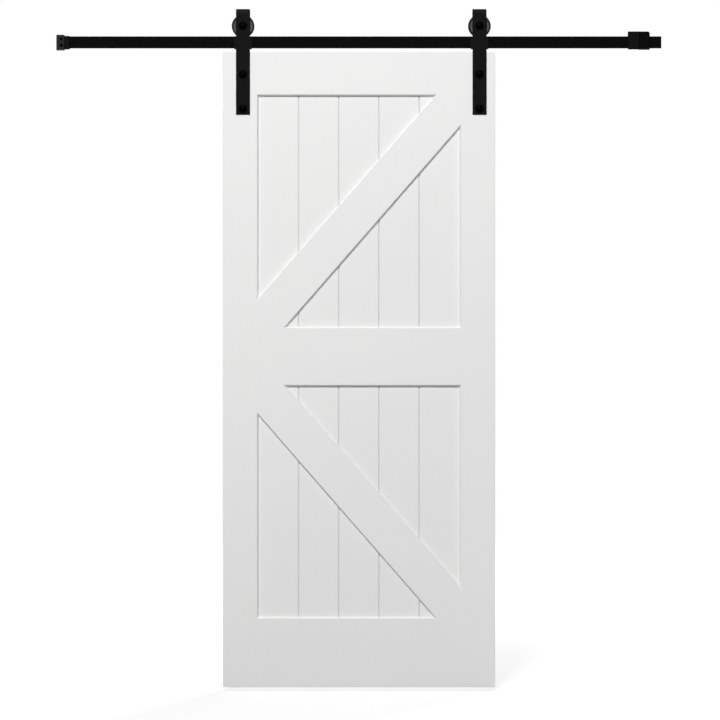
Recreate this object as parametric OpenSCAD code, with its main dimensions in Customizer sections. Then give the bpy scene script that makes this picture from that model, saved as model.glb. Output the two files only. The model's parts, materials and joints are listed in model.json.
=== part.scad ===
// Sliding barn door: a framed and braced leaf that hangs from two wheels on a flat wall track.
// Millimetres. X runs along the track, +Y points to the wall, +Z is up.
// The origin lies on the wall plane, at mid-length and mid-height of the track.

/* [Leaf] */
// Width of the leaf
leaf_w = 914.4; // [762:0.1:1220]
// Height of the leaf
leaf_h = 2133.6; // [1980:0.1:2440]
// Thickness of the leaf
leaf_t = 35; // [34:0.5:42]
// Face width of each stile
stile_w = 115; // [105:0.5:140]
// Face height of the top rail
top_h = 143; // [110:0.5:180]
// Face height of the middle rail
mid_h = 190.5; // [120:0.5:230]
// Face height of the bottom rail
bot_h = 231; // [150:0.5:280]
// Face width of each diagonal brace
brace_w = 127; // [90:0.5:150]
// Shift of each brace from the diagonal of its opening towards the middle rail
brace_shift = 2.6; // [0:0.1:10]
// Ease on the outer edges of the leaf
ease = 1; // [0.5:0.1:2]

/* [Boards] */
// Depth from the face of the leaf to the boards
recess_d = 10; // [8:0.1:10.5]
// Width of the bevel around each recess, seen from the front
bevel = 4.5; // [3:0.1:6.5]
// Height of the square step between the bevel and the boards
lip = 1; // [0.5:0.1:3]
// Depth of the groove that holds the boards
groove_d = 10; // [8:0.5:14]
// Width of the V bevels between two boards
vee_w = 5; // [3:0.1:5.4]
// Gap between two boards at the bottom of the V
board_gap = 1.2; // [0.4:0.1:2]
// Thickness of the tongue on a board
tongue_t = 6; // [4:0.1:6]
// Length of the tongue on a board
tongue_l = 8; // [5:0.1:9]
// Clearance on each side of a tongue
tongue_fit = 0.1; // [0.05:0.05:0.3]
// Clearance at the ends of boards, tenons, tongues and dowels
end_fit = 0.5; // [0.2:0.1:1]

/* [Joinery] */
// Diameter of the dowels between rails and stiles
dowel_d = 12; // [8:0.5:16]
// Length of the dowels
dowel_l = 100; // [60:1:110]
// Radial clearance of a dowel or sleeve in its bore
bore_fit = 0.1; // [0.05:0.05:0.3]
// Width of the floor guide groove in the bottom edge
guide_w = 12; // [8:0.5:15]
// Depth of the floor guide groove
guide_d = 18; // [10:0.5:25]

/* [Track] */
// Length of the track
track_l = 2032; // [1900:1:2440]
// Height of the track
track_h = 40; // [36:0.5:50]
// Thickness of the track
track_t = 6; // [5:0.1:8]
// Edge break on the long edges of the track
track_ease = 0.8; // [0.3:0.1:1.5]
// Gap between the track and the top of the leaf
leaf_gap = 13; // [9:0.5:20]
// Distance of the track from the wall
standoff_l = 36; // [32:0.5:50]
// Diameter of the standoffs
standoff_d = 25; // [20:0.5:32]
// Spacing of the wall screws
screw_pitch = 406.4; // [380:0.1:430]
// Thread diameter of the wall screws
screw_d = 8; // [6:0.1:9]
// Shank diameter of the wall screws
shank_d = 7.2; // [5:0.1:7.5]
// Head diameter of the wall screws
csk_d = 16.6; // [14:0.1:17]
// Width across the corners of the socket in a wall screw
csk_key = 6.9; // [5:0.1:7]
// Depth of the socket in a wall screw
csk_socket = 3; // [2:0.1:3.2]
// Length of the wall screws past the wall plane
screw_reach = 60; // [40:1:80]
// Length of the point of a wall screw
screw_point = 8; // [5:0.5:12]
// Radial clearance of a wall screw in track and standoff
screw_fit = 0.5; // [0.2:0.05:0.8]
// Depth of a wall screw head below the face of the track
sink = 0.2; // [0.1:0.05:0.5]
// Gap between a countersunk head and its seat
seat_fit = 0.1; // [0.05:0.05:0.2]

/* [Wheel] */
// Outer radius of the wheel
wheel_r = 38; // [32:0.5:45]
// Height of the flanges beside the track
flange_h = 4; // [3:0.1:5]
// Width of the wheel
wheel_w = 16; // [15:0.1:20]
// Radial width of the raised rim
rim_w = 6; // [4:0.1:7]
// Edge break on the rim
rim_ease = 1.5; // [0.5:0.1:2]
// Play between the track and the groove on each side
play = 0.75; // [0.3:0.05:1]
// Widening of the groove towards the flange edge
flare = 1.5; // [0.5:0.1:1.8]
// Running gap between the wheel and the track
run_gap = 0.2; // [0.1:0.05:0.4]
// Gap between the wheel and each leg of the strap
side_gap = 2; // [1.5:0.1:4]

/* [Bearing] */
// Diameter of the axle
axle_d = 12; // [10:0.1:13]
// Outer diameter of the bearing
brg_od = 32; // [31:0.1:36]
// Width of the bearing
brg_w = 10; // [8:0.1:11]
// Diameter of the balls
ball_d = 5.95; // [5:0.05:6.2]
// Number of balls
ball_n = 7; // [6:1:8]
// Gap from the ball circle to the shoulders of the races
land = 2.1; // [1.8:0.1:2.4]
// Radial thickness of the ball cage
cage_t = 1.6; // [1:0.1:2]
// Width of the ball cage
cage_w = 7; // [6.6:0.1:7.5]
// Clearance around the balls
ball_fit = 0.1; // [0.05:0.05:0.15]
// Radial clearance of axle, races and spacers
axle_fit = 0.05; // [0.02:0.01:0.1]
// Outer diameter of the spacers beside the bearing
spacer_d = 17; // [16.2:0.1:17.8]

/* [Hanger] */
// Width of the strap
strap_w = 47; // [40:0.5:55]
// Thickness of the strap
strap_t = 5; // [4:0.1:6.5]
// Length of the strap below the top of the leaf
strap_drop = 211; // [205:0.5:260]
// Distance from the left edge of the leaf to the middle of the left strap
strap_inset_l = 67.5; // [45:0.5:75]
// Distance from the right edge of the leaf to the middle of the right strap
strap_inset_r = 52.5; // [45:0.5:75]
// Gap between the wheel and the bend of the strap
bend_gap = 14.8; // [12:0.1:20]
// Edge break on the outside of the strap
strap_ease = 1.5; // [0.5:0.1:2]
// Height of the tapered lower end
taper_h = 4; // [2:0.5:6]
// Depth of the taper at the lower end
taper_t = 3; // [1:0.1:4]
// Distance of the upper bolt below the top of the leaf
bolt_top = 75.5; // [50:0.5:80]
// Spacing of the two bolts
bolt_pitch = 116; // [90:0.5:120]
// Diameter of the bolt heads
head_d = 28; // [20:0.5:30]
// Height of the bolt heads
head_h = 7; // [4:0.1:9]
// Height of the straight rim of a bolt head
head_rim = 1.5; // [0.5:0.1:2]
// Thread diameter of the bolts
bolt_d = 8; // [6:0.1:9]
// Width of the square neck under a bolt head
neck_w = 10; // [9.2:0.1:12]
// Clearance on each side of the square neck
neck_fit = 0.15; // [0.05:0.05:0.3]
// Outer diameter of the sleeve nuts
sleeve_d = 12; // [11:0.1:14]
// Length of the sleeve nuts inside the leaf
sleeve_l = 24; // [16:0.5:28]
// Diameter of the sleeve nut flanges
collar_d = 24; // [18:0.5:30]
// Thickness of the sleeve nut flanges
collar_t = 3; // [2:0.1:4]
// Width of the slot in a sleeve nut flange
slot_w = 2; // [1:0.1:3]
// Gap from the tip of a bolt to the rear face of the leaf
tip_gap = 4; // [2:0.5:6]
// Width across the flats of the axle nut
nut_af = 18; // [16:0.1:22]
// Height of the axle nut
nut_h = 8; // [6:0.1:10]
// Length of axle past the nut
axle_end = 2; // [1:0.1:4]

/* [Guide pad] */
// Width of the guide pad behind the strap
pad_w = 59; // [52:0.5:70]
// Reach of the guide pad below the track
pad_low = 4; // [2:0.1:6]
// Gap between the guide pad and the wheel
pad_top_gap = 2; // [1:0.1:4]
// Gap between the guide pad and the track
pad_gap = 1; // [0.5:0.1:2]
// Lead-in on the ends of the guide pad
pad_lead = 4.5; // [2:0.1:6]
// Rise of the lead-in
pad_rise = 3; // [1:0.1:4]
// Spacing of the pad screws
pad_pitch = 24; // [16:0.5:30]
// Diameter of the pad screws
pad_screw_d = 4; // [3:0.1:4.5]
// Head diameter of the pad screws
pad_head_d = 8; // [6:0.1:8.5]
// Depth of the pad screws in the strap
pad_bite = 3; // [2:0.1:3.4]

/* [End stops] */
// Reach of the stops in front of the track
stop_front = 14; // [13:0.1:20]
// Thickness of the stops behind the track
stop_back = 6; // [4:0.1:8]
// Clearance of the stops around the track
stop_fit = 0.1; // [0.05:0.05:0.3]
// Edge break on the front of the stops
stop_ease = 1.5; // [0.5:0.1:3]
// Length of the left clamp along the track
left_w = 26; // [24:0.5:40]
// Rise of the left clamp above the track
left_rise = 4; // [3:0.1:10]
// Reach of the left clamp below the track
left_drop = 6.4; // [3:0.1:8]
// Length of the left bumper
left_bump = 18.5; // [12:0.5:30]
// Reach of the left bumper below the track
left_bump_drop = 4.2; // [1:0.1:8]
// Distance of the right clamp from the end of the track
right_off = 40; // [10:0.5:100]
// Length of the right clamp along the track
right_w = 36.5; // [30:0.5:50]
// Rise of the right stop above the track
right_rise = 15; // [10:0.1:25]
// Reach of the right stop below the track
right_drop = 4.2; // [3:0.1:8]
// Corner cut at the outer end of the right stop
corner = 5; // [1:0.5:5]
// Length of the right bumper
right_bump = 35.5; // [20:0.5:60]
// Gap between the bumpers and the track
bump_gap = 0.5; // [0.2:0.1:1]
// Edge break on the nose of the bumpers
nose = 3; // [1:0.1:5]
// Diameter of the peg that holds a bumper
peg_d = 8; // [5:0.1:8.5]
// Length of the peg
peg_l = 8; // [5:0.1:9]
// Radial clearance of the peg
peg_fit = 0.1; // [0.05:0.05:0.2]
// Diameter of the front set screws
front_set_d = 10.5; // [8:0.1:11]
// Spacing of the front set screws
front_set_pitch = 22; // [20.5:0.1:24]
// Distance of the front set screws from the end of the track
front_set_x = 16.5; // [12:0.5:17]
// Diameter of the top set screws
top_set_d = 6; // [4:0.1:6]
// Spacing of the top set screws
top_set_pitch = 18; // [12:0.5:18]
// Radial clearance of the set screws
set_fit = 0.1; // [0.05:0.05:0.2]
// Depth of the front set screws below the face
front_set_sink = 5; // [0.5:0.1:7]
// Depth of the top set screws below the face
top_set_sink = 0.8; // [0.2:0.1:2]
// Width of the socket in a set screw, as a share of its diameter
set_key = 0.58; // [0.4:0.01:0.7]
// Depth of the socket in a set screw, as a share of its length
set_deep = 0.5; // [0.3:0.01:0.7]

/* [Hidden] */
$fn = 64;
board_n = 5;
screw_n = 5;
over = 1;

// Depths: the wall lies at 0 and the front of the door looks to minus Y
track_y = -standoff_l - track_t / 2;
track_f = track_y - track_t / 2;
leg_gap = wheel_w + 2 * side_gap;
face_y = track_y - leg_gap / 2;
back_y = face_y + leaf_t;
panel_t = leaf_t - 2 * recess_d;
panel_y = face_y + recess_d;
bevel_d = recess_d - lip;
mid_y = face_y + leaf_t / 2;
rear_y = face_y + leg_gap;
front_y = face_y - strap_t;

// Heights of the leaf and of the faces around its two openings
leaf_top = -track_h / 2 - leaf_gap;
leaf_bot = leaf_top - leaf_h;
open_h = (leaf_h - top_h - mid_h - bot_h) / 2;
up_hi = leaf_top - top_h;
up_lo = up_hi - open_h;
low_hi = up_lo - mid_h;
low_lo = low_hi - open_h;

// Widths of the openings, on the face and between the edges of the stiles
open_w = leaf_w - 2 * stile_w;
in_w = open_w - 2 * bevel;
pitch = in_w / board_n;
brace_a = atan2(open_h, open_w);
brace_l = sqrt(open_h * open_h + open_w * open_w) + 2 * brace_w;

// Rails as middle height and face height, and the dowels in their ends
rails = [
    [leaf_top - top_h / 2, top_h],
    [(up_lo + low_hi) / 2, mid_h],
    [leaf_bot + bot_h / 2, bot_h]
];
dowel_z = [for (r = rails) for (s = [-1, 1]) r[0] + s * r[1] / 4];

// Hangers
hang_l = strap_inset_l - leaf_w / 2;
hang_r = leaf_w / 2 - strap_inset_r;
tread_r = wheel_r - flange_h;
wheel_z = track_h / 2 + run_gap + tread_r;
bend_z = wheel_z + wheel_r + bend_gap - leg_gap / 2;
strap_bot = leaf_top - strap_drop;
bolt_z = [leaf_top - bolt_top, leaf_top - bolt_top - bolt_pitch];
axle_tip = rear_y + strap_t + nut_h + axle_end;
ball_r = (axle_d + brg_od) / 4;

// Guide pads
pad_y = track_f - pad_gap;
pad_hi = track_h / 2 - flange_h - pad_top_gap;
pad_lo = -track_h / 2 - pad_low;
pad_z = (pad_hi + pad_lo) / 2;
pad_cone = (pad_head_d - pad_screw_d) / 2;

// End stops
stop_y0 = track_f - stop_front;
stop_y1 = track_y + track_t / 2 + stop_back;
left_x0 = -track_l / 2;
left_x1 = left_x0 + left_w;
right_x1 = track_l / 2 - right_off;
right_x0 = right_x1 - right_w;
front_set_z = (left_rise - left_drop) / 2;
peg_y = (stop_y0 + track_f - bump_gap) / 2;
right_peg_z = (track_h / 2 + right_rise - track_h / 2 - right_drop) / 2;

function rev(v) = [for (i = [len(v) - 1:-1:0]) v[i]];

// Side view of a rail edge with bevels and the board groove; d is 1 upwards and -1 downwards
function stuck_edge(z, d) = [
    [face_y, z],
    [face_y + bevel_d, z + d * bevel],
    [panel_y, z + d * bevel],
    [panel_y, z + d * (bevel - groove_d)],
    [panel_y + panel_t, z + d * (bevel - groove_d)],
    [panel_y + panel_t, z + d * bevel],
    [back_y - bevel_d, z + d * bevel],
    [back_y, z]
];

// Side view of a plain outer edge
function plain_edge(z, d) = [
    [face_y, z - d * ease],
    [face_y + ease, z],
    [back_y - ease, z],
    [back_y, z - d * ease]
];

// Radius and offset across of the strap section, with r the radius of its inner side
function strap_section(r) = [
    [r, -strap_w / 2],
    [r, strap_w / 2],
    [r + strap_t - strap_ease, strap_w / 2],
    [r + strap_t, strap_w / 2 - strap_ease],
    [r + strap_t, -strap_w / 2 + strap_ease],
    [r + strap_t - strap_ease, -strap_w / 2]
];

// A side view in Y and Z, drawn out along X
module along_x(l) {
    rotate([90, 0, 90])
        linear_extrude(height = l, center = true)
            children();
}

// A plan in X and Y, drawn out along Z
module along_z(z0, z1) {
    translate([0, 0, z0])
        linear_extrude(height = z1 - z0)
            children();
}

// A front view in X and Z, drawn out along Y
module along_y(y0, y1) {
    translate([0, y0, 0])
        rotate([-90, 0, 0])
            linear_extrude(height = y1 - y0)
                mirror([0, 1, 0])
                    children();
}

// Something built on +Z, turned to start at depth y and point to the wall
module to_wall(x, y, z) {
    translate([x, y, z])
        rotate([-90, 0, 0])
            children();
}

// Something built on +Z, turned to start at depth y and point to the viewer
module to_front(x, y, z) {
    translate([x, y, z])
        rotate([90, 0, 0])
            children();
}

// A box between two corners
module box(a, b) {
    translate(a)
        cube(b - a);
}

// Leaf

module stile_plan() {
    x0 = -leaf_w / 2;
    xf = -open_w / 2;
    xi = -in_w / 2;
    polygon([
        [x0 + ease, face_y],
        [xf, face_y],
        [xi, face_y + bevel_d],
        [xi, panel_y],
        [xi - groove_d, panel_y],
        [xi - groove_d, panel_y + panel_t],
        [xi, panel_y + panel_t],
        [xi, back_y - bevel_d],
        [xf, back_y],
        [x0 + ease, back_y],
        [x0, back_y - ease],
        [x0, face_y + ease]
    ]);
}

// Ends of a rail are cut to sit over the bevels of the stiles, with a stub tenon in the groove
module rail_plan() {
    f = open_w / 2;
    i = in_w / 2;
    t = i + groove_d - end_fit;
    half = [
        [f, face_y],
        [i, face_y + bevel_d],
        [i, panel_y],
        [t, panel_y],
        [t, panel_y + panel_t],
        [i, panel_y + panel_t],
        [i, back_y - bevel_d],
        [f, back_y]
    ];
    polygon(concat(half, [for (p = rev(half)) [-p[0], p[1]]]));
}

module dowel_bores() {
    for (s = [-1, 1])
        for (z = dowel_z)
            translate([s * in_w / 2, mid_y, z])
                rotate([0, 90, 0])
                    cylinder(d = dowel_d + 2 * bore_fit, h = dowel_l + 2 * end_fit, center = true);
}

module guide_slot() {
    box([-leaf_w / 2 - over, mid_y - guide_w / 2, leaf_bot - over],
        [leaf_w / 2 + over, mid_y + guide_w / 2, leaf_bot + guide_d]);
}

module stile(s) {
    color("whitesmoke")
        difference() {
            intersection() {
                along_z(leaf_bot, leaf_top)
                    mirror([s > 0 ? 1 : 0, 0, 0])
                        stile_plan();
                along_x(leaf_w)
                    polygon(concat(plain_edge(leaf_bot, -1), rev(plain_edge(leaf_top, 1))));
            }
            dowel_bores();
            guide_slot();
            for (z = bolt_z)
                to_wall(s > 0 ? hang_r : hang_l, face_y - over, z)
                    cylinder(d = sleeve_d + 2 * bore_fit, h = leaf_t + 2 * over);
        }
}

module rail(lo, hi) {
    color("whitesmoke")
        difference() {
            intersection() {
                along_z(leaf_bot - over, leaf_top + over)
                    rail_plan();
                along_x(leaf_w)
                    polygon(concat(lo, rev(hi)));
            }
            dowel_bores();
            guide_slot();
        }
}

// One board: groove on its left edge, tongue on its right, V bevels on both faces.
// The first and last board run plain into the grooves of the stiles.
module board(i, z0, z1) {
    v = vee_w / 2;
    y0 = panel_y;
    y1 = panel_y + panel_t;
    x0 = -in_w / 2 + (i - 1) * pitch;
    xl = x0 + board_gap / 2;
    xr = x0 + pitch - board_gap / 2;
    far = in_w / 2 + groove_d - end_fit;
    g = tongue_t / 2 + tongue_fit;
    t = tongue_t / 2;
    gl = xl + tongue_l + end_fit;
    tl = xr + board_gap + tongue_l;
    left = i == 1 ? [[-far, y1], [-far, y0]] : [
        [xl + v, y1], [xl, y1 - v],
        [xl, mid_y + g], [gl, mid_y + g], [gl, mid_y - g], [xl, mid_y - g],
        [xl, y0 + v], [xl + v, y0]
    ];
    right = i == board_n ? [[far, y0], [far, y1]] : [
        [xr - v, y0], [xr, y0 + v],
        [xr, mid_y - t], [tl, mid_y - t], [tl, mid_y + t], [xr, mid_y + t],
        [xr, y1 - v], [xr - v, y1]
    ];
    reach = groove_d - bevel - end_fit;
    color("white")
        along_z(z0 - reach, z1 + reach)
            polygon(concat(left, right));
}

// Space between the boards and the face of the leaf, bounded by the bevels of stiles and rails
module recess_space(z0, z1) {
    intersection() {
        along_z(z0, z1)
            polygon([
                [-open_w / 2, face_y], [open_w / 2, face_y],
                [in_w / 2, face_y + bevel_d], [in_w / 2, panel_y],
                [-in_w / 2, panel_y], [-in_w / 2, face_y + bevel_d]
            ]);
        along_x(open_w)
            polygon([
                [face_y, z0], [face_y, z1],
                [face_y + bevel_d, z1 - bevel], [panel_y, z1 - bevel],
                [panel_y, z0 + bevel], [face_y + bevel_d, z0 + bevel]
            ]);
    }
}

// Bevelled bar along the diagonal of an opening, its ends cut over the bevels of stiles and rails
module brace(z0, z1, s) {
    b = brace_w / 2;
    color("whitesmoke")
        intersection() {
            recess_space(z0, z1);
            translate([0, 0, (z0 + z1) / 2])
                rotate([0, -s * brace_a, 0])
                    translate([0, 0, -s * brace_shift])
                        along_x(brace_l)
                            polygon([
                                [face_y, -b], [face_y, b],
                                [face_y + bevel_d, b + bevel], [panel_y, b + bevel],
                                [panel_y, -b - bevel], [face_y + bevel_d, -b - bevel]
                            ]);
        }
}

// The same bar on the rear face
module rear_side() {
    translate([0, 2 * mid_y, 0])
        mirror([0, 1, 0])
            children();
}

module dowels() {
    color("burlywood")
        for (s = [-1, 1])
            for (z = dowel_z)
                translate([s * in_w / 2, mid_y, z])
                    rotate([0, 90, 0])
                        cylinder(d = dowel_d, h = dowel_l, center = true);
}

// Track and wall fixings

module screw_places() {
    for (i = [1:screw_n])
        translate([(i - (screw_n + 1) / 2) * screw_pitch, 0, 0])
            children();
}

module track() {
    hole = screw_d / 2 + screw_fit;
    mouth = csk_d / 2 + sink + seat_fit * sqrt(2);
    h = track_h / 2;
    back = track_f + track_t;
    color([0.08, 0.08, 0.08])
        difference() {
            along_x(track_l)
                polygon([
                    [track_f + track_ease, -h], [back - track_ease, -h],
                    [back, track_ease - h], [back, h - track_ease],
                    [back - track_ease, h], [track_f + track_ease, h],
                    [track_f, h - track_ease], [track_f, track_ease - h]
                ]);
            screw_places() {
                to_wall(0, track_f - over, 0)
                    cylinder(r = hole, h = track_t + 2 * over);
                to_wall(0, track_f, 0)
                    cylinder(r1 = mouth, r2 = hole, h = mouth - hole);
            }
        }
}

module standoff(i) {
    color([0.1, 0.1, 0.1])
        translate([(i - (screw_n + 1) / 2) * screw_pitch, 0, 0])
            difference() {
                to_wall(0, -standoff_l, 0)
                    cylinder(d = standoff_d, h = standoff_l);
                to_wall(0, -standoff_l - over, 0)
                    cylinder(r = screw_d / 2 + screw_fit, h = standoff_l + 2 * over);
            }
}

// Countersunk screw: plain shank through track and standoff, threaded part from the wall plane on
module lag_screws() {
    top = track_f + sink;
    cone = (csk_d - shank_d) / 2;
    color([0.15, 0.15, 0.15])
        screw_places()
            difference() {
                to_wall(0, 0, 0)
                    rotate_extrude()
                        polygon([
                            [0, top], [csk_d / 2, top], [shank_d / 2, top + cone],
                            [shank_d / 2, 0], [screw_d / 2, 0],
                            [screw_d / 2, screw_reach - screw_point], [0, screw_reach]
                        ]);
                to_wall(0, top - over, 0)
                    cylinder(d = csk_key, h = csk_socket + over, $fn = 6);
            }
}

// Clamp around the track between x0 and x1, with its front edges broken
module clamp_block(x0, x1, rise, drop) {
    hi = track_h / 2 + rise;
    lo = -track_h / 2 - drop;
    slot = track_h / 2 + stop_fit;
    difference() {
        intersection() {
            along_z(lo, hi)
                polygon([
                    [x0, stop_y0 + stop_ease], [x0 + stop_ease, stop_y0],
                    [x1 - stop_ease, stop_y0], [x1, stop_y0 + stop_ease],
                    [x1, stop_y1], [x0, stop_y1]
                ]);
            along_x(track_l + 2 * over)
                polygon([
                    [stop_y0, lo], [stop_y1, lo], [stop_y1, hi],
                    [stop_y0 + stop_ease, hi], [stop_y0, hi - stop_ease]
                ]);
        }
        box([x0 - over, track_f - stop_fit, -slot],
            [x1 + over, track_f + track_t + stop_fit, slot]);
    }
}

// Side view of a bumper: it lies in front of the track, and over it where it rises
module bumper_side(rise, drop) {
    y1 = track_f - bump_gap;
    lo = -track_h / 2 - drop;
    hi = track_h / 2 + rise;
    low = [[y1, lo], [stop_y0, lo], [stop_y0, hi]];
    over_track = [[stop_y1, hi], [stop_y1, track_h / 2 + bump_gap], [y1, track_h / 2 + bump_gap]];
    polygon(rise > bump_gap ? concat(low, over_track) : concat(low, [[y1, hi]]));
}

// Rubber block from x0 to x1 with its nose at side s and a peg into the clamp at the other side
module bumper(x0, x1, s, rise, drop, pz) {
    n = s > 0 ? x1 : x0;
    r = s > 0 ? x0 : x1;
    color([0.05, 0.05, 0.05])
        union() {
            intersection() {
                translate([(x0 + x1) / 2, 0, 0])
                    along_x(x1 - x0)
                        bumper_side(rise, drop);
                along_z(-track_h, track_h)
                    polygon([
                        [r - s * over, stop_y0], [n - s * nose, stop_y0], [n, stop_y0 + nose],
                        [n, stop_y1], [r - s * over, stop_y1]
                    ]);
            }
            translate([r + s * over, peg_y, pz])
                rotate([0, -s * 90, 0])
                    cylinder(d = peg_d, h = peg_l + over);
        }
}

module peg_bore(x, s, pz) {
    translate([x, peg_y, pz])
        rotate([0, -s * 90, 0])
            cylinder(d = peg_d + 2 * peg_fit, h = peg_l + end_fit);
}

module end_stop_left() {
    color([0.13, 0.13, 0.13])
        difference() {
            clamp_block(left_x0, left_x1, left_rise, left_drop);
            for (s = [-1, 1])
                to_wall(left_x0 + front_set_x, stop_y0 - over, front_set_z + s * front_set_pitch / 2)
                    cylinder(r = front_set_d / 2 + set_fit, h = stop_front + over);
            peg_bore(left_x1, 1, front_set_z);
        }
}

module end_stop_right() {
    hi = track_h / 2 + right_rise;
    color([0.1, 0.1, 0.1])
        difference() {
            clamp_block(right_x0, right_x1, right_rise, right_drop);
            along_y(stop_y0 - over, stop_y1 + over)
                polygon([
                    [right_x1 - corner, hi], [right_x1, hi - corner], [right_x1 + over, hi - corner],
                    [right_x1 + over, hi + over], [right_x1 - corner, hi + over]
                ]);
            for (s = [-1, 1])
                translate([(right_x0 + right_x1) / 2 + s * top_set_pitch / 2, track_y, track_h / 2])
                    cylinder(r = top_set_d / 2 + set_fit, h = right_rise + over);
            peg_bore(right_x0, -1, right_peg_z);
        }
}

// Set screw on +Z with a hexagon socket in its upper end
module set_screw(d, l) {
    difference() {
        cylinder(d = d, h = l);
        translate([0, 0, l * (1 - set_deep)])
            cylinder(d = d * set_key, h = l, $fn = 6);
    }
}

module stop_screws_left() {
    color([0.03, 0.03, 0.03])
        for (s = [-1, 1])
            to_front(left_x0 + front_set_x, track_f, front_set_z + s * front_set_pitch / 2)
                set_screw(front_set_d, stop_front - front_set_sink);
}

module stop_screws_right() {
    color([0.03, 0.03, 0.03])
        for (s = [-1, 1])
            translate([(right_x0 + right_x1) / 2 + s * top_set_pitch / 2, track_y, track_h / 2])
                set_screw(top_set_d, right_rise - top_set_sink);
}

// Hangers

// Flat bar bent over the wheel: long leg on the face of the leaf, short round leg behind the wheel
module strap(x) {
    color([0.12, 0.12, 0.12])
        translate([x, 0, 0])
            difference() {
                union() {
                    along_z(strap_bot, bend_z)
                        polygon([for (p = strap_section(0)) [p[1], face_y - p[0]]]);
                    translate([0, track_y, bend_z])
                        rotate([90, 0, 90])
                            rotate_extrude(angle = 180)
                                polygon(strap_section(leg_gap / 2));
                    along_z(wheel_z, bend_z)
                        polygon([for (p = strap_section(0)) [p[1], rear_y + p[0]]]);
                    to_wall(0, rear_y, wheel_z)
                        rotate_extrude()
                            polygon([
                                [0, 0], [strap_w / 2, 0], [strap_w / 2, strap_t - strap_ease],
                                [strap_w / 2 - strap_ease, strap_t], [0, strap_t]
                            ]);
                }
                along_x(strap_w + 2 * over)
                    polygon([
                        [front_y - over, strap_bot + taper_h], [front_y, strap_bot + taper_h],
                        [front_y + taper_t, strap_bot], [front_y + taper_t, strap_bot - over],
                        [front_y - over, strap_bot - over]
                    ]);
                to_wall(0, front_y - over, wheel_z)
                    cylinder(r = axle_d / 2 + axle_fit, h = leg_gap + 2 * strap_t + 2 * over);
                for (z = bolt_z)
                    translate([0, face_y - strap_t / 2, z])
                        cube([neck_w + 2 * neck_fit, strap_t + 2 * over, neck_w + 2 * neck_fit],
                            center = true);
                for (s = [-1, 1])
                    to_front(s * pad_pitch / 2, face_y + over, pad_z)
                        cylinder(d = pad_screw_d + 2 * bore_fit, h = pad_bite + end_fit + over);
            }
}

// Wear pad between strap and track, with lead-ins towards both ends of the track
module guide_pad(x) {
    w = pad_w / 2;
    color([0.11, 0.11, 0.11])
        translate([x, 0, 0])
            difference() {
                along_z(pad_lo, pad_hi)
                    polygon([
                        [-w, face_y], [w, face_y], [w, pad_y - pad_rise],
                        [w - pad_lead, pad_y], [pad_lead - w, pad_y], [-w, pad_y - pad_rise]
                    ]);
                for (s = [-1, 1])
                    to_front(s * pad_pitch / 2, pad_y, pad_z) {
                        cylinder(d = pad_screw_d + 2 * bore_fit, h = pad_y - face_y + over);
                        cylinder(r1 = pad_head_d / 2 + sink + seat_fit * sqrt(2),
                            r2 = pad_screw_d / 2 + bore_fit,
                            h = pad_cone + sink + seat_fit * sqrt(2) - bore_fit);
                    }
            }
}

module pad_screws() {
    color([0.2, 0.2, 0.2])
        for (x = [hang_l, hang_r])
            for (s = [-1, 1])
                to_front(x + s * pad_pitch / 2, pad_y - sink, pad_z)
                    rotate_extrude()
                        polygon([
                            [0, 0], [pad_head_d / 2, 0], [pad_screw_d / 2, pad_cone],
                            [pad_screw_d / 2, pad_y - sink - face_y + pad_bite],
                            [0, pad_y - sink - face_y + pad_bite]
                        ]);
}

// Domed head on +Z: a straight rim and a spherical cap
module dome_head() {
    r = head_d / 2;
    h = head_h - head_rim;
    ball = (r * r + h * h) / (2 * h);
    union() {
        cylinder(r = r, h = head_rim);
        intersection() {
            translate([0, 0, head_h - ball])
                sphere(r = ball);
            translate([0, 0, head_rim])
                cylinder(r = r + over, h = head_h);
        }
    }
}

module hanger_bolts() {
    color([0.05, 0.05, 0.05])
        for (x = [hang_l, hang_r])
            for (z = bolt_z)
                union() {
                    to_front(x, front_y, z)
                        dome_head();
                    translate([x, face_y - strap_t / 2, z])
                        cube([neck_w, strap_t, neck_w], center = true);
                    to_wall(x, face_y, z)
                        cylinder(d = bolt_d, h = leaf_t - tip_gap);
                }
}

module sleeve_nuts() {
    color([0.15, 0.15, 0.15])
        for (x = [hang_l, hang_r])
            for (z = bolt_z)
                difference() {
                    to_wall(x, back_y - sleeve_l, z) {
                        cylinder(d = sleeve_d, h = sleeve_l + collar_t / 2);
                        translate([0, 0, sleeve_l])
                            cylinder(d1 = collar_d, d2 = collar_d - collar_t, h = collar_t);
                    }
                    to_wall(x, back_y - sleeve_l - over, z)
                        cylinder(r = bolt_d / 2 + bore_fit, h = sleeve_l - tip_gap + 2 * over);
                    box([x - collar_d, back_y + collar_t / 2, z - slot_w / 2],
                        [x + collar_d, back_y + collar_t + over, z + slot_w / 2]);
                }
}

module axle(x) {
    color([0.05, 0.05, 0.05])
        union() {
            to_front(x, front_y, wheel_z)
                dome_head();
            to_wall(x, front_y, wheel_z)
                cylinder(d = axle_d, h = axle_tip - front_y);
        }
}

module axle_nuts() {
    color([0.15, 0.15, 0.15])
        for (x = [hang_l, hang_r])
            to_wall(x, rear_y + strap_t, wheel_z)
                difference() {
                    cylinder(r = nut_af / 2 / cos(30), h = nut_h, $fn = 6);
                    translate([0, 0, -over])
                        cylinder(r = axle_d / 2 + axle_fit, h = nut_h + 2 * over);
                }
}

module axle_spacers() {
    l = (leg_gap - brg_w) / 2;
    color([0.5, 0.5, 0.5])
        for (x = [hang_l, hang_r])
            for (y = [face_y, rear_y - l])
                to_wall(x, y, wheel_z)
                    difference() {
                        cylinder(d = spacer_d, h = l);
                        translate([0, 0, -over])
                            cylinder(r = axle_d / 2 + axle_fit, h = l + 2 * over);
                    }
}

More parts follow.
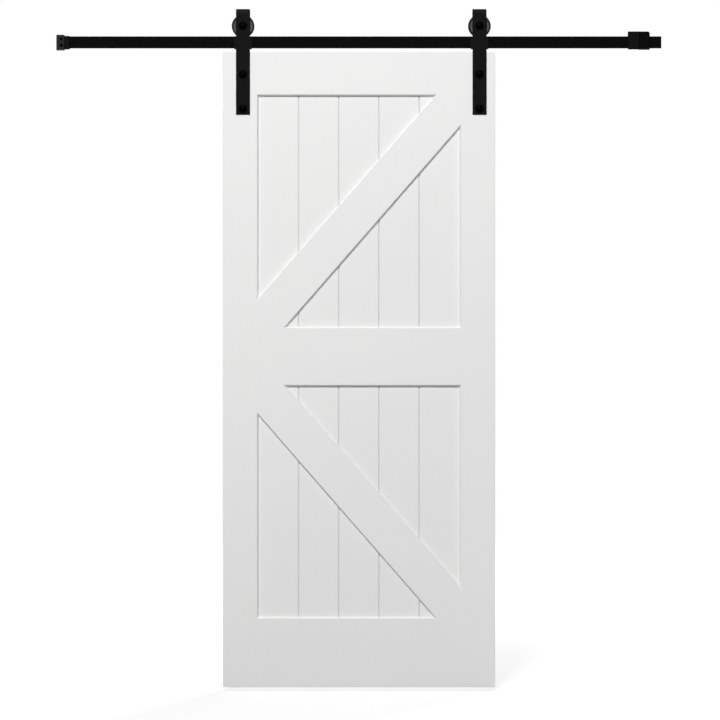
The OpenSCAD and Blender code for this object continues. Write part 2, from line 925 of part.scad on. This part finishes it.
// Ring of a ball bearing with a round ball track
module race(x, r0, r1) {
    color([0.6, 0.6, 0.62])
        to_wall(x, track_y, wheel_z)
            difference() {
                cylinder(r = r1, h = brg_w, center = true);
                cylinder(r = r0, h = brg_w + 2 * over, center = true);
                rotate_extrude()
                    translate([ball_r, 0])
                        circle(r = ball_d / 2 + ball_fit);
            }
}

module balls(x) {
    color([0.7, 0.7, 0.72])
        to_wall(x, track_y, wheel_z)
            for (i = [0:ball_n - 1])
                rotate([0, 0, i * 360 / ball_n])
                    translate([ball_r, 0, 0])
                        sphere(d = ball_d);
}

// Ring that keeps the balls apart
module cage(x) {
    color("goldenrod")
        to_wall(x, track_y, wheel_z)
            difference() {
                cylinder(r = ball_r + cage_t / 2, h = cage_w, center = true);
                cylinder(r = ball_r - cage_t / 2, h = cage_w + 2 * over, center = true);
                for (i = [0:ball_n - 1])
                    rotate([0, 0, i * 360 / ball_n])
                        translate([ball_r, 0, 0])
                            rotate([0, 90, 0])
                                cylinder(r = ball_d / 2 + ball_fit, h = 2 * cage_t, center = true);
            }
}

// Turned wheel: grooved tread, raised rim and a thinner web around the bearing seat
module wheel(x) {
    w = wheel_w / 2;
    h = brg_w / 2;
    g = track_t / 2 + play;
    web_r = wheel_r - rim_w;
    half = [
        [brg_od / 2 + axle_fit, h],
        [web_r - (w - h), h],
        [web_r, w],
        [wheel_r - rim_ease, w],
        [wheel_r, w - rim_ease],
        [wheel_r, g + flare],
        [tread_r, g]
    ];
    color([0.09, 0.09, 0.09])
        to_wall(x, track_y, wheel_z)
            rotate_extrude($fn = 96)
                polygon(concat(half, [for (p = rev(half)) [p[0], -p[1]]]));
}

track();
for (i = [1:screw_n])
    standoff(i);
lag_screws();
end_stop_left();
bumper(left_x1, left_x1 + left_bump, 1, 0, left_bump_drop, front_set_z);  // bumper_left
stop_screws_left();
end_stop_right();
bumper(right_x0 - right_bump, right_x0, -1, right_rise, right_drop, right_peg_z);  // bumper_right
stop_screws_right();
stile(-1);  // stile_left
stile(1);  // stile_right
rail(stuck_edge(up_hi, -1), plain_edge(leaf_top, 1));  // rail_top
rail(stuck_edge(low_hi, -1), stuck_edge(up_lo, 1));  // rail_middle
rail(plain_edge(leaf_bot, -1), stuck_edge(low_lo, 1));  // rail_bottom
for (i = [1:board_n]) {
    board(i, up_lo, up_hi);
    board(i, low_lo, low_hi);
}
brace(up_lo, up_hi, 1);  // brace_upper_front
rear_side() brace(up_lo, up_hi, 1);  // brace_upper_rear
brace(low_lo, low_hi, -1);  // brace_lower_front
rear_side() brace(low_lo, low_hi, -1);  // brace_lower_rear
dowels();
strap(hang_l);  // strap_left
strap(hang_r);  // strap_right
guide_pad(hang_l);  // guide_pad_left
guide_pad(hang_r);  // guide_pad_right
pad_screws();
hanger_bolts();
sleeve_nuts();
axle(hang_l);  // axle_left
axle(hang_r);  // axle_right
axle_nuts();
axle_spacers();
race(hang_l, axle_d / 2 + axle_fit, ball_r - land);  // inner_race_left
race(hang_r, axle_d / 2 + axle_fit, ball_r - land);  // inner_race_right
wheel(hang_l);  // wheel_left
race(hang_l, ball_r + land, brg_od / 2);  // outer_race_left
wheel(hang_r);  // wheel_right
race(hang_r, ball_r + land, brg_od / 2);  // outer_race_right
balls(hang_l);  // balls_left
cage(hang_l);  // cage_left
balls(hang_r);  // balls_right
cage(hang_r);  // cage_right
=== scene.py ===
import json
import math

import bpy
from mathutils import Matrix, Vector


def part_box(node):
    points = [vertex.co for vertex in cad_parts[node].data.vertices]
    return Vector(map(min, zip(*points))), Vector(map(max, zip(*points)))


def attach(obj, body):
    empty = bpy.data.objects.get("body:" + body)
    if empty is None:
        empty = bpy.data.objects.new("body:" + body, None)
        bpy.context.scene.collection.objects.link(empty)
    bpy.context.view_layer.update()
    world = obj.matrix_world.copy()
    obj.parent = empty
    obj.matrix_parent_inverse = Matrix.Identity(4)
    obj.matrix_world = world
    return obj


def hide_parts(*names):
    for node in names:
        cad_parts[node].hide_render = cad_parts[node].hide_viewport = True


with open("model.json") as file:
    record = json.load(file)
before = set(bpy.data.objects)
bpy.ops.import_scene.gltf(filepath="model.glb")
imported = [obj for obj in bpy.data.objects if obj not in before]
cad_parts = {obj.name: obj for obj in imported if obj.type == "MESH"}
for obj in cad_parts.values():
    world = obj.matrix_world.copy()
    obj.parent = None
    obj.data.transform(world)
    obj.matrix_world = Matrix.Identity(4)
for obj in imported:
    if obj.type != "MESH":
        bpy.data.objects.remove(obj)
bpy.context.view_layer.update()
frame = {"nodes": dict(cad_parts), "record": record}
nodes = frame["nodes"]
record = frame["record"]

scene = bpy.context.scene
scene.view_settings.view_transform = "Standard"

# Lengths are in metres where a name says nothing else
MM = 0.001
WHITE = (1.0, 1.0, 1.0, 1.0)

# Noise: its roughness, and the values between which a mottled surface goes from dark to light
NOISE_ROUGHNESS = 0.55
MOTTLE_FROM = 0.3
MOTTLE_TO = 0.7

# Powder coat: shares of its level where it is dark and light, and the spread of its roughness
COAT_DARK = 0.75
COAT_LIGHT = 1.25
COAT_SPREAD = 0.07

# Grooves between the boards: their depth, and the level of the painted shade that darkens the paint
# at their bottom
GROOVE_DEPTH = 0.0025
PAINTED_GROOVE_SHADE = 0.93

# Wheel: grey levels by share of its radius, and the rings that turning leaves, in radians a metre
WHEEL_LEVELS = [
    (0.6, 0.012),
    (0.68, 0.06),
    (0.78, 0.13),
    (0.85, 0.05),
    (0.88, 0.006),
    (1.0, 0.004),
]
TURNING_RATE = 9000.0

# Wall screws: the shank up to its end before the wall, the head, and the hexagon socket in it,
# with radii to the flats and depths from the face of the head
SCREW_SIDES = 24
SHANK_R = 0.0036
SHANK_END_Y = -0.002
HEAD_EASE = 0.0003
SOCKET_R = 0.003
SOCKET_MOUTH_R = 0.00318
SOCKET_EASE = 0.0002
SOCKET_DEPTH = 0.0028
SOCKET_POINT = 0.0032
SOCKET_POINT_R = 0.00005

# Wall screws: the wood thread, with half a crest as a share of the pitch, and the share of the
# radius that is left at the tip
THREAD_STEPS = 150
THREAD_PITCH = 0.0036
ROOT_R = 0.0028
CREST_R = 0.004
CREST_SHARE = 0.3
POINT_LENGTH = 0.008
TIP_SHARE = 0.02

# Axle nuts: the radius of the turned end as a share of the width across the flats, the slope of
# its cone, and the bore with its wider mouth, its plain ends and its thread
NUT_SIDES = 48
TURNED_SHARE = 0.475
TURNED_SLOPE = math.sqrt(3)
TURNED_STEPS = 6
BORE_R = 0.00605
BORE_MOUTH = 1.07
BORE_LEAD = 0.0005
BORE_STEPS = 28
BORE_PITCH = 0.00175
BORE_THREAD = 0.0004

# Floor: its gap below the leaf, and its glow near its middle and far from it
FLOOR_SIZE = 16.0
FLOOR_GAP = 0.012
GLOW_NEAR = 0.65
GLOW_FAR = 0.95
GLOW_FROM = 1.5
GLOW_TO = 6.5

# Light of the world on the object, and the point that the lamps look at
WORLD_LEVEL = 0.05
LAMP_TARGET = (0.0, 0.0, -1.0)

# Camera: the width of the picture at the face of the leaf, and the middle of the picture
FRAME_WIDTH = 2.418
FRAME_X = 0.0033
FRAME_Z = -1.0677
LENS_MM = 150.0
SENSOR_MM = 36.0
CLIP_END = 60.0


# Node trees

class TreeBuilder:
    """Short calls for building a node tree."""

    def __init__(self, tree):
        self.tree = tree

    def add(self, kind, **values):
        node = self.tree.nodes.new(kind)
        for key, value in values.items():
            setattr(node, key, value)
        return node

    def link(self, source, target):
        self.tree.links.new(source, target)

    def math(self, operation, *values):
        """A math node over numbers and sockets."""
        node = self.add("ShaderNodeMath", operation=operation)
        for socket, value in zip(node.inputs, values):
            if isinstance(value, (int, float)):
                socket.default_value = value
            else:
                self.link(value, socket)
        return node.outputs["Value"]

    def remap(self, fac, low, high, start=0.0, end=1.0):
        """A value between start and end, turned into one from low to high."""
        node = self.add("ShaderNodeMapRange")
        node.inputs["From Min"].default_value = start
        node.inputs["From Max"].default_value = end
        node.inputs["To Min"].default_value = low
        node.inputs["To Max"].default_value = high
        self.link(fac, node.inputs["Value"])
        return node.outputs["Result"]

    def seen(self):
        """One for what is looked at, also in a reflection or through glass, else zero."""
        path = self.add("ShaderNodeLightPath")
        shown = self.math("MAXIMUM", path.outputs["Is Camera Ray"], path.outputs["Is Glossy Ray"])
        return self.math("MAXIMUM", shown, path.outputs["Is Transmission Ray"])


class Shader(TreeBuilder):
    """A material with a Principled surface, textured by object coordinates."""

    def __init__(self, name, roughness, specular=0.5, metallic=0.0):
        self.material = bpy.data.materials.new(name)
        self.material.use_nodes = True
        super().__init__(self.material.node_tree)
        self.bsdf = self.tree.nodes["Principled BSDF"]
        self.bsdf.inputs["Roughness"].default_value = roughness
        self.bsdf.inputs["Specular IOR Level"].default_value = specular
        self.bsdf.inputs["Metallic"].default_value = metallic
        self.coord = self.add("ShaderNodeTexCoord").outputs["Object"]
        self.normal = None

    def stretched(self, scale):
        """Object coordinates, scaled along each axis."""
        node = self.add("ShaderNodeMapping")
        node.inputs["Scale"].default_value = scale
        self.link(self.coord, node.inputs["Vector"])
        return node.outputs["Vector"]

    def axes(self, vector):
        """The X, Y and Z outputs of a vector."""
        node = self.add("ShaderNodeSeparateXYZ")
        self.link(vector, node.inputs["Vector"])
        return node.outputs

    def noise(self, scale, detail, source=None):
        node = self.add("ShaderNodeTexNoise")
        node.inputs["Scale"].default_value = scale
        node.inputs["Detail"].default_value = detail
        node.inputs["Roughness"].default_value = NOISE_ROUGHNESS
        self.link(source or self.coord, node.inputs["Vector"])
        return node.outputs["Fac"]

    def ramp(self, fac, stops):
        """A colour from (position, colour) stops."""
        node = self.add("ShaderNodeValToRGB")
        elements = node.color_ramp.elements
        while len(elements) < len(stops):
            elements.new(0.5)
        for element, (position, colour) in zip(elements, stops):
            element.position = position
            element.color = (*colour, 1.0)
        self.link(fac, node.inputs["Fac"])
        return node.outputs["Color"]

    def mottle(self, fac, dark, light):
        """A colour between two, spread over the middle of a noise."""
        return self.ramp(fac, [(MOTTLE_FROM, dark), (MOTTLE_TO, light)])

    def scaled(self, colour, level):
        """A colour made darker by a level from 0 to 1."""
        node = self.add("ShaderNodeVectorMath", operation="SCALE")
        self.link(colour, node.inputs[0])
        self.link(level, node.inputs["Scale"])
        return node.outputs["Vector"]

    def colour(self, source):
        self.link(source, self.bsdf.inputs["Base Color"])

    def rough(self, source):
        self.link(source, self.bsdf.inputs["Roughness"])

    def bump(self, height, strength, depth):
        """One layer of relief over those that were added before it."""
        node = self.add("ShaderNodeBump")
        node.inputs["Strength"].default_value = strength
        node.inputs["Distance"].default_value = depth
        self.link(height, node.inputs["Height"])
        if self.normal is not None:
            self.link(self.normal, node.inputs["Normal"])
        self.normal = node.outputs["Normal"]
        self.link(self.normal, self.bsdf.inputs["Normal"])


def grey(value):
    return (value, value, value)


# Materials

def painted_groove_shade(s, node):
    """Painted shade: one on both faces of a board, less towards the bottom of its V grooves."""
    low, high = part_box(node)
    middle = (low[1] + high[1]) / 2
    half = (high[1] - low[1]) / 2
    away = s.math("ABSOLUTE", s.math("SUBTRACT", s.axes(s.coord)["Y"], middle))
    return s.remap(away, low=PAINTED_GROOVE_SHADE, high=1.0, start=half - GROOVE_DEPTH, end=half)


def paint_material(name, level, grain_scale, grooved=None):
    """White sprayed primer: faint clouding, orange peel and the grain of the board under it.

    On a grooved node the paint is darker down in the grooves between the boards: painted shade.
    """
    s = Shader(name, roughness=0.5, specular=0.3)
    warm = (level, level * 0.998, level * 0.99)
    cool = (level * 0.975, level * 0.976, level * 0.972)
    colour = s.mottle(s.noise(scale=1.7, detail=4.0), dark=cool, light=warm)
    if grooved:
        # Painted shade: the paint is made darker down in the V grooves between the boards
        colour = s.scaled(colour, painted_groove_shade(s, grooved))
    s.colour(colour)
    s.rough(s.remap(s.noise(scale=60.0, detail=3.0), low=0.42, high=0.58))
    grain = s.noise(scale=1.0, detail=5.0, source=s.stretched(grain_scale))
    s.bump(grain, strength=0.05, depth=0.0004)
    s.bump(s.noise(scale=420.0, detail=2.0), strength=0.06, depth=0.0003)
    return s.material


def coat_material(name, level, roughness, specular, streak=None):
    """Black powder coat: fine pimples, a little mottling, drawn streaks on a bar."""
    s = Shader(name, roughness, specular)
    if streak:
        patches = s.noise(scale=1.0, detail=4.0, source=s.stretched(streak))
    else:
        patches = s.noise(scale=28.0, detail=5.0)
    s.colour(s.mottle(patches, dark=grey(level * COAT_DARK), light=grey(level * COAT_LIGHT)))
    wear = s.noise(scale=180.0, detail=3.0)
    s.rough(s.remap(wear, low=roughness - COAT_SPREAD, high=roughness + COAT_SPREAD))
    s.bump(s.noise(scale=1900.0, detail=2.0), strength=0.12, depth=0.00015)
    return s.material


def rubber_material(name):
    """Matt rubber with a coarse skin."""
    s = Shader(name, roughness=0.8, specular=0.05)
    s.colour(s.mottle(s.noise(scale=45.0, detail=4.0), dark=grey(0.003), light=grey(0.0052)))
    s.bump(s.noise(scale=900.0, detail=4.0), strength=0.2, depth=0.0002)
    return s.material


def nylon_material(name):
    """Moulded nylon with a fine skin."""
    s = Shader(name, roughness=0.55, specular=0.04)
    s.colour(s.mottle(s.noise(scale=35.0, detail=3.0), dark=grey(0.005), light=grey(0.007)))
    s.bump(s.noise(scale=1300.0, detail=2.0), strength=0.1, depth=0.00015)
    return s.material


def steel_material(name):
    """Ground bearing steel."""
    s = Shader(name, roughness=0.28, metallic=1.0)
    patches = s.noise(scale=90.0, detail=3.0)
    s.colour(s.mottle(patches, dark=(0.52, 0.52, 0.54), light=(0.64, 0.64, 0.66)))
    s.rough(s.remap(s.noise(scale=300.0, detail=2.0), low=0.2, high=0.36))
    return s.material


def brass_material(name):
    """Stamped brass."""
    s = Shader(name, roughness=0.35, metallic=1.0)
    patches = s.noise(scale=120.0, detail=3.0)
    s.colour(s.mottle(patches, dark=(0.62, 0.45, 0.18), light=(0.76, 0.58, 0.26)))
    return s.material


def wood_material(name):
    """Bare beech, with its grain along X."""
    s = Shader(name, roughness=0.7, specular=0.3)
    grain = s.noise(scale=1.0, detail=6.0, source=s.stretched((14.0, 320.0, 320.0)))
    s.colour(s.mottle(grain, dark=(0.52, 0.36, 0.2), light=(0.72, 0.55, 0.34)))
    s.bump(grain, strength=0.2, depth=0.0003)
    return s.material


def wheel_material(node):
    """Black rim and tread, a lighter grey ring across the web by radius, with the rings that
    turning leaves.
    """
    low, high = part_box(node)
    centre = [(a + b) / 2 for a, b in zip(low, high)]
    outer = (high[0] - low[0]) / 2
    s = Shader(node + "_black", roughness=0.4, specular=0.06)
    shift = s.add("ShaderNodeVectorMath", operation="SUBTRACT")
    s.link(s.coord, shift.inputs[0])
    shift.inputs[1].default_value = centre
    parts = s.axes(shift.outputs["Vector"])
    across = s.math("MULTIPLY", parts["X"], parts["X"])
    upward = s.math("MULTIPLY", parts["Z"], parts["Z"])
    radius = s.math("SQRT", s.math("ADD", across, upward))
    share = s.math("DIVIDE", radius, outer)
    s.colour(s.ramp(share, [(position, grey(level)) for position, level in WHEEL_LEVELS]))
    rings = s.math("SINE", s.math("MULTIPLY", radius, TURNING_RATE))
    s.bump(rings, strength=0.08, depth=0.0001)
    s.bump(s.noise(scale=1500.0, detail=2.0), strength=0.06, depth=0.0001)
    return s.material


leaf_paint = paint_material("leaf_paint", level=0.83, grain_scale=(420.0, 420.0, 9.0))
rail_paint = paint_material("rail_paint", level=0.83, grain_scale=(9.0, 420.0, 420.0))
board_paint = paint_material(
    "board_paint", level=0.825, grain_scale=(520.0, 520.0, 8.0), grooved="board_upper_2")
track_black = coat_material(
    "track_black", level=0.0012, roughness=0.5, specular=0.025, streak=(2.0, 500.0, 500.0))
hardware_black = coat_material("hardware_black", level=0.0038, roughness=0.5, specular=0.04)
clamp_black = coat_material("clamp_black", level=0.016, roughness=0.55, specular=0.06)
fastener_black = coat_material("fastener_black", level=0.0005, roughness=0.35, specular=0.01)

by_node = {
    "rail_top": rail_paint,
    "rail_middle": rail_paint,
    "rail_bottom": rail_paint,
    "end_stop_left": clamp_black,
    "end_stop_right": track_black,
    "wheel_left": wheel_material("wheel_left"),
    "wheel_right": wheel_material("wheel_right"),
}
by_slot = {
    "leaf_paint": leaf_paint,
    "board_paint": board_paint,
    "dowel_wood": wood_material("dowel_wood"),
    "track_black": track_black,
    "hardware_black": hardware_black,
    "fastener_black": fastener_black,
    "bumper_rubber": rubber_material("bumper_rubber"),
    "pad_plastic": nylon_material("pad_plastic"),
    "bearing_steel": steel_material("bearing_steel"),
    "cage_brass": brass_material("cage_brass"),
}
slot_of = {part["node"]: part["material_slot"] for part in record["subparts"]}


def dress(obj, material):
    obj.data.materials.clear()
    obj.data.materials.append(material)


for name, obj in nodes.items():
    dress(obj, by_node[name] if name in by_node else by_slot[slot_of[name]])


# Pieces turned around an axis along Y

def even(r):
    """A radius that is the same all round."""
    return lambda turn: r


def hexagon(apothem, flat_at=math.pi / 6):
    """The radius of a hexagon with the middle of a flat at the given angle."""
    def radius(turn):
        from_flat = (turn - flat_at + math.pi / 6) % (math.pi / 3) - math.pi / 6
        return apothem / math.cos(from_flat)
    return radius


def ring(x, y, z, sides, radius):
    """Points around an axis along Y, each at the radius of its angle."""
    turns = [2 * math.pi * j / sides for j in range(sides)]
    points = [(radius(turn), turn) for turn in turns]
    return [(x + r * math.cos(turn), y, z + r * math.sin(turn)) for r, turn in points]


def skin(rings, closed=False):
    """A skin through rings of points: capped at both ends, or closed from the last to the first."""
    count = len(rings)
    sides = len(rings[0])
    verts = [point for row in rings for point in row]
    faces = []
    if not closed:
        last = (count - 1) * sides
        faces += [tuple(range(sides)), tuple(range(last + sides - 1, last - 1, -1))]
    for i in range(count if closed else count - 1):
        a = i * sides
        b = (i + 1) % count * sides
        for j in range(sides):
            k = (j + 1) % sides
            faces.append((a + j, b + j, b + k, a + k))
    return verts, faces


def join(parts):
    """Several skins as one list of points and one of faces."""
    verts, faces = [], []
    for part_verts, part_faces in parts:
        offset = len(verts)
        verts += part_verts
        faces += [tuple(i + offset for i in face) for face in part_faces]
    return verts, faces


def add_piece(name, parts, material, body, node, sharp_deg):
    """A new piece from several skins, which stands for a CAD node on its body."""
    verts, faces = join(parts)
    mesh = bpy.data.meshes.new(name)
    mesh.from_pydata(verts, [], faces)
    mesh.update()
    mesh.materials.append(material)
    mesh.shade_smooth()
    mesh.set_sharp_from_angle(angle=math.radians(sharp_deg))
    obj = bpy.data.objects.new(name, mesh)
    scene.collection.objects.link(obj)
    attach(obj, body)
    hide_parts(node)


# Wall screws with their threads

def wood_thread(y, tip):
    """The radius of the thread at a depth: crests that grow from the shank and taper to the tip."""
    taper = min(1.0, max(TIP_SHARE, (tip - y) / POINT_LENGTH))
    growth = min(1.0, y / THREAD_PITCH)

    def radius(turn):
        phase = (y / THREAD_PITCH - turn / (2 * math.pi)) % 1.0
        crest = max(0.0, 1.0 - abs(phase - 0.5) / CREST_SHARE)
        return (ROOT_R + (CREST_R - ROOT_R) * crest * growth) * taper
    return radius


def lag_screw(x, low, high):
    """One screw: countersunk head with a hexagon socket, plain shank, wood thread and point."""
    front = low[1]
    tip = high[1]
    head_r = (high[2] - low[2]) / 2
    profile = [
        (front + SOCKET_POINT, even(SOCKET_POINT_R)),
        (front + SOCKET_DEPTH, hexagon(SOCKET_R, flat_at=0.0)),
        (front + SOCKET_EASE, hexagon(SOCKET_R, flat_at=0.0)),
        (front, hexagon(SOCKET_MOUTH_R, flat_at=0.0)),
        (front, even(head_r - HEAD_EASE)),
        (front + HEAD_EASE, even(head_r)),
        (front + head_r - SHANK_R, even(SHANK_R)),
        (SHANK_END_Y, even(SHANK_R)),
    ]
    for i in range(THREAD_STEPS + 1):
        y = tip * i / THREAD_STEPS
        profile.append((y, wood_thread(y, tip)))
    return skin([ring(x, y, 0.0, SCREW_SIDES, radius) for y, radius in profile])


low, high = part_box("lag_screws")
patterns = [mount for mount in record["mounts"] if mount["kind"] == "bolt_pattern"]
offsets = [mount["dims"]["spacing_x_mm"] * MM / 2 for mount in patterns]
places = [0.0] + [side * offset for offset in offsets for side in (-1, 1)]
add_piece("wall_screws", [lag_screw(x, low, high) for x in places],
          track_black, "rail", "lag_screws", sharp_deg=35.0)


# Axle nuts with turned corners and a thread in the bore

def turned_hexagon(flats, inset):
    """The radius of a hexagon whose corners are turned to a cone, at a distance from its end."""
    outline = hexagon(flats / 2)
    cone = flats * TURNED_SHARE + inset * TURNED_SLOPE
    return lambda turn: min(outline(turn), cone)


def bore_thread(y):
    """The radius of the threaded bore at a depth."""
    phase = 2 * math.pi * y / BORE_PITCH
    return lambda turn: BORE_R + BORE_THREAD * (0.5 + 0.5 * math.sin(phase - turn))


def hex_nut(x, z, y0, y1, flats):
    """A hexagon nut along Y: the corners are turned off at both ends, the bore holds a thread."""
    corner_r = flats / 2 / math.cos(math.pi / 6)
    turned = (corner_r - flats * TURNED_SHARE) / TURNED_SLOPE
    insets = [turned * k / TURNED_STEPS for k in range(TURNED_STEPS + 1)]
    profile = [(y0 + inset, turned_hexagon(flats, inset)) for inset in insets]
    profile += [(y1 - inset, turned_hexagon(flats, inset)) for inset in reversed(insets)]
    profile.append((y1, even(BORE_R * BORE_MOUTH)))
    for k in range(BORE_STEPS + 1):
        y = y1 - BORE_LEAD - (y1 - y0 - 2 * BORE_LEAD) * k / BORE_STEPS
        profile.append((y, bore_thread(y)))
    profile.append((y0, even(BORE_R * BORE_MOUTH)))
    return skin([ring(x, y, z, NUT_SIDES, radius) for y, radius in profile], closed=True)


low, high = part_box("axle_nuts")
nuts = []
for side in ("left", "right"):
    axle_low, axle_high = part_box("axle_" + side)
    centre_x = (axle_low[0] + axle_high[0]) / 2
    centre_z = (axle_low[2] + axle_high[2]) / 2
    nuts.append(hex_nut(centre_x, centre_z, low[1], high[1], high[2] - low[2]))
add_piece("turned_axle_nuts", nuts,
          fastener_black, "door", "axle_nuts", sharp_deg=25.0)


# Floor, world, lamps and camera

def floor_material():
    """Pale floor that glows a little to the eye and still takes the shadow of the object."""
    s = Shader("floor_white", roughness=0.9, specular=0.0)
    s.colour(s.mottle(s.noise(scale=3.0, detail=3.0), dark=grey(0.38), light=grey(0.4)))
    radius = s.add("ShaderNodeVectorMath", operation="LENGTH")
    s.link(s.coord, radius.inputs[0])
    away = radius.outputs["Value"]
    glow = s.remap(away, low=GLOW_NEAR, high=GLOW_FAR, start=GLOW_FROM, end=GLOW_TO)
    s.bsdf.inputs["Emission Color"].default_value = WHITE
    s.link(s.math("MULTIPLY", s.seen(), glow), s.bsdf.inputs["Emission Strength"])
    return s.material


leaf_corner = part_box("stile_left")[0]
face_y = leaf_corner[1]
leaf_bottom = leaf_corner[2]

bpy.ops.mesh.primitive_plane_add(size=FLOOR_SIZE, location=(0.0, 0.0, leaf_bottom - FLOOR_GAP))
floor = bpy.context.object
floor.name = "floor"
dress(floor, floor_material())

# The world is white to the eye, and gives the object only a little light
world = bpy.data.worlds.new("studio")
scene.world = world
world.use_nodes = True
sky = TreeBuilder(world.node_tree)
background = sky.tree.nodes["Background"]
background.inputs["Color"].default_value = WHITE
sky.link(sky.remap(sky.seen(), low=WORLD_LEVEL, high=1.0), background.inputs["Strength"])


def area_light(name, place, target, size, power):
    """A round lamp at a place, turned to a target."""
    data = bpy.data.lights.new(name, "AREA")
    data.shape = "DISK"
    data.size = size
    data.energy = power
    obj = bpy.data.objects.new(name, data)
    scene.collection.objects.link(obj)
    obj.location = place
    way = [b - a for a, b in zip(place, target)]
    obj.rotation_euler = (
        math.atan2(math.hypot(way[0], way[1]), -way[2]),
        0.0,
        math.atan2(way[1], way[0]) - math.pi / 2,
    )


area_light("key", place=(-1.5, -8.0, 6.2), target=LAMP_TARGET, size=2.4, power=1150.0)
area_light("back_fill", place=(2.5, 6.0, 3.0), target=LAMP_TARGET, size=2.5, power=520.0)

camera_data = bpy.data.cameras.new("camera")
camera_data.lens = LENS_MM
camera_data.sensor_width = SENSOR_MM
camera_data.clip_end = CLIP_END
camera = bpy.data.objects.new("camera", camera_data)
scene.collection.objects.link(camera)
distance = FRAME_WIDTH * LENS_MM / SENSOR_MM
camera.location = (FRAME_X, face_y - distance, FRAME_Z)
camera.rotation_euler = (math.pi / 2, 0.0, 0.0)
scene.camera = camera
